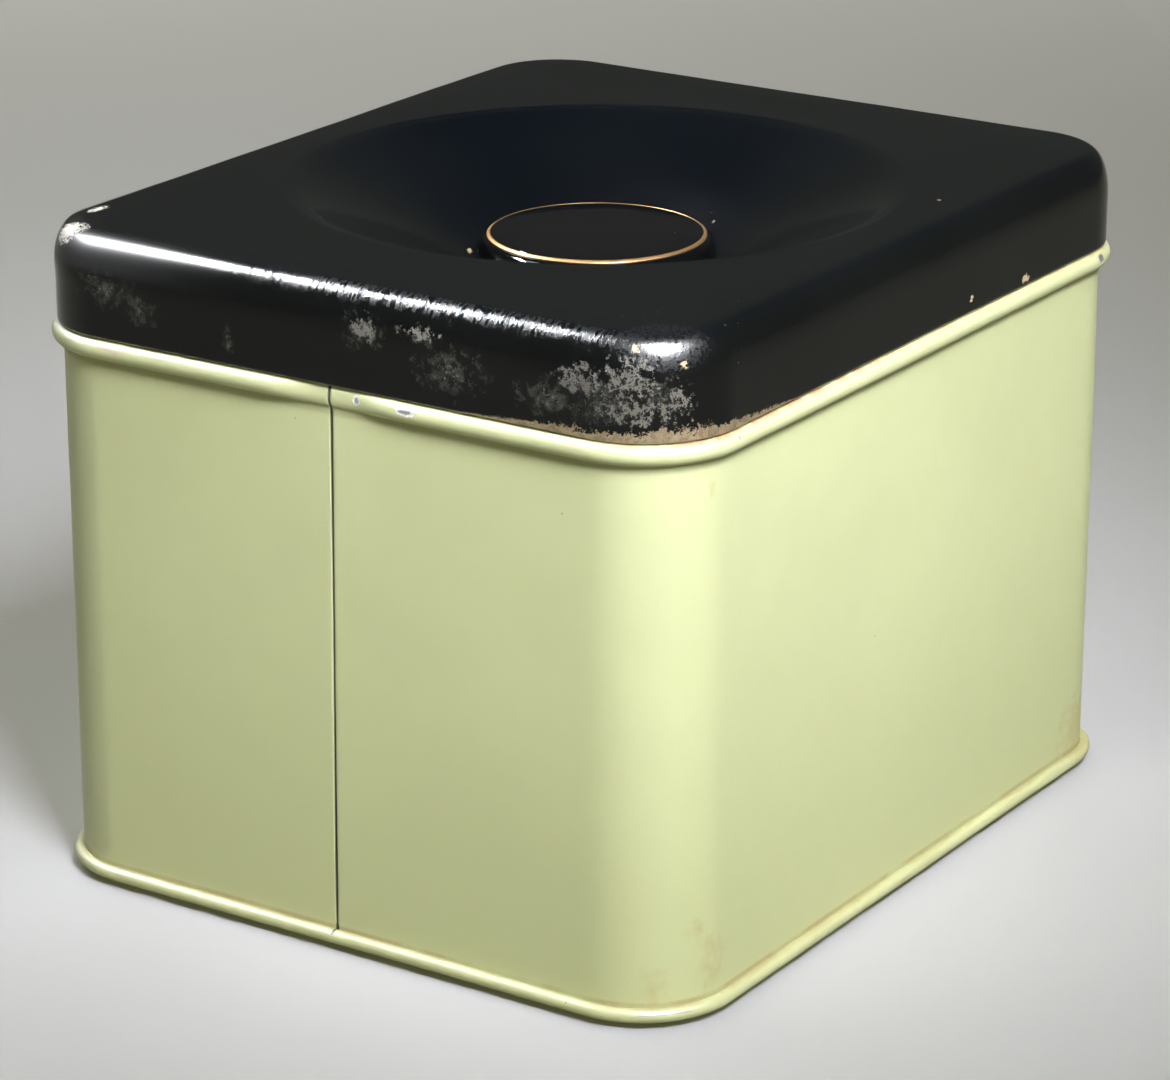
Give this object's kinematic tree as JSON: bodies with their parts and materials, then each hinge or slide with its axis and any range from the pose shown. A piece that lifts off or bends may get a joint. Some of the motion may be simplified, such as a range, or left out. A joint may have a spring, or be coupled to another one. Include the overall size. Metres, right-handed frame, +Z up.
{
  "type": "tea caddy",
  "caption": "Rectangular tinplate tea caddy with rounded corners, a beaded neck, a curled base rim and a lift-off black lid with a knob standing in a round dish.",
  "frame": {"origin": "centre of the footprint, on the surface that the caddy stands on", "axes": "+Z up through the knob; +Y along the longer side, away from the face with the side seam; +X to the right when the seam face is in front"},
  "size_m": [0.1364, 0.1612, 0.1194],
  "materials": {
    "green_enamel": "satin",
    "black_enamel": "gloss",
    "black_plastic": "gloss",
    "gilt": "satin gilt",
    "insert_brass": "turned",
    "plated_steel": "tarnished plating"
  },
  "bodies": {
    "tin": {"body_wrap": "green_enamel", "base_panel": "green_enamel"},
    "lid": {"lid_shell": "black_enamel", "knob": "black_plastic", "knob_gilt_band": "gilt", "knob_insert": "insert_brass", "knob_washer": "plated_steel", "knob_screw": "plated_steel"}
  },
  "joints": [
    {"name": "lid_lift", "type": "slide", "parent": "tin", "child": "lid", "axis": [0, 0, 1], "range_m": [0, 0.1]}
  ]
}
